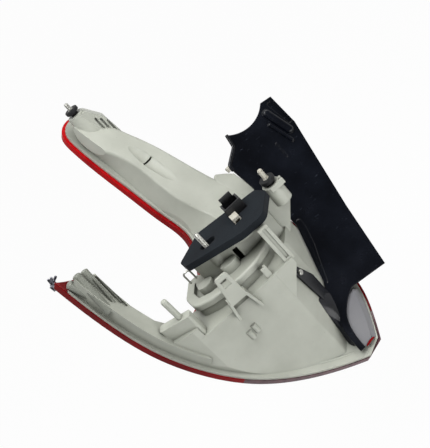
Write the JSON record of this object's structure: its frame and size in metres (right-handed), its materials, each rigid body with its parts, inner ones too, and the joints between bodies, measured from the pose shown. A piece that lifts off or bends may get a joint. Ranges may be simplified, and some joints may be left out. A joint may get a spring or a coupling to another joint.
{
  "type": "tail light cluster",
  "caption": "Car tail light cluster with a C-shaped housing, red wrap-round lens with a clear section, bulb carrier, fixing studs and a black trim panel.",
  "frame": {"origin": "on the main stud's axis, at the housing's pad face under the foam gasket", "axes": "+Z along the fixing studs, into the car body; +X towards the trim panel; +Y along the lens's rise, towards the arms' open ends"},
  "size_m": [0.3221, 0.3447, 0.3751],
  "materials": {
    "housing_abs": "satin moulded, light grey",
    "red_acrylic": "clear polished red",
    "clear_acrylic": "clear polished",
    "black_trim": "satin, scuffed",
    "grey_cover": "satin moulded, mid grey",
    "foam": "closed-cell foam",
    "grommet_rubber": "matt",
    "zinc_steel": "zinc plated",
    "pale_plastic": "natural nylon",
    "connector_black": "satin moulded",
    "tinned_brass": "tinned",
    "mirror_layer": "vacuum metallised",
    "bulb_glass": "clear"
  },
  "bodies": {
    "root": {"housing": "housing_abs", "red_lens": "red_acrylic", "clear_lens": "clear_acrylic", "bulb_carrier": "housing_abs", "carrier_seal": "grommet_rubber", "carrier_clip": "zinc_steel", "foam_gasket": "foam", "connector_housing": "connector_black", "connector_lock": "pale_plastic", "connector_pins": "tinned_brass", "main_stud": "zinc_steel", "arm_stud": "zinc_steel", "inboard_stud": "pale_plastic", "arm_grommet": "grommet_rubber", "inboard_grommet": "grommet_rubber", "trim_panel": "black_trim", "trim_screw": "zinc_steel", "trim_clip": "pale_plastic", "side_cover": "grey_cover", "tip_clip": "zinc_steel", "reflector": "mirror_layer", "stop_bulb": "bulb_glass", "reverse_bulb": "bulb_glass"}
  },
  "joints": []
}
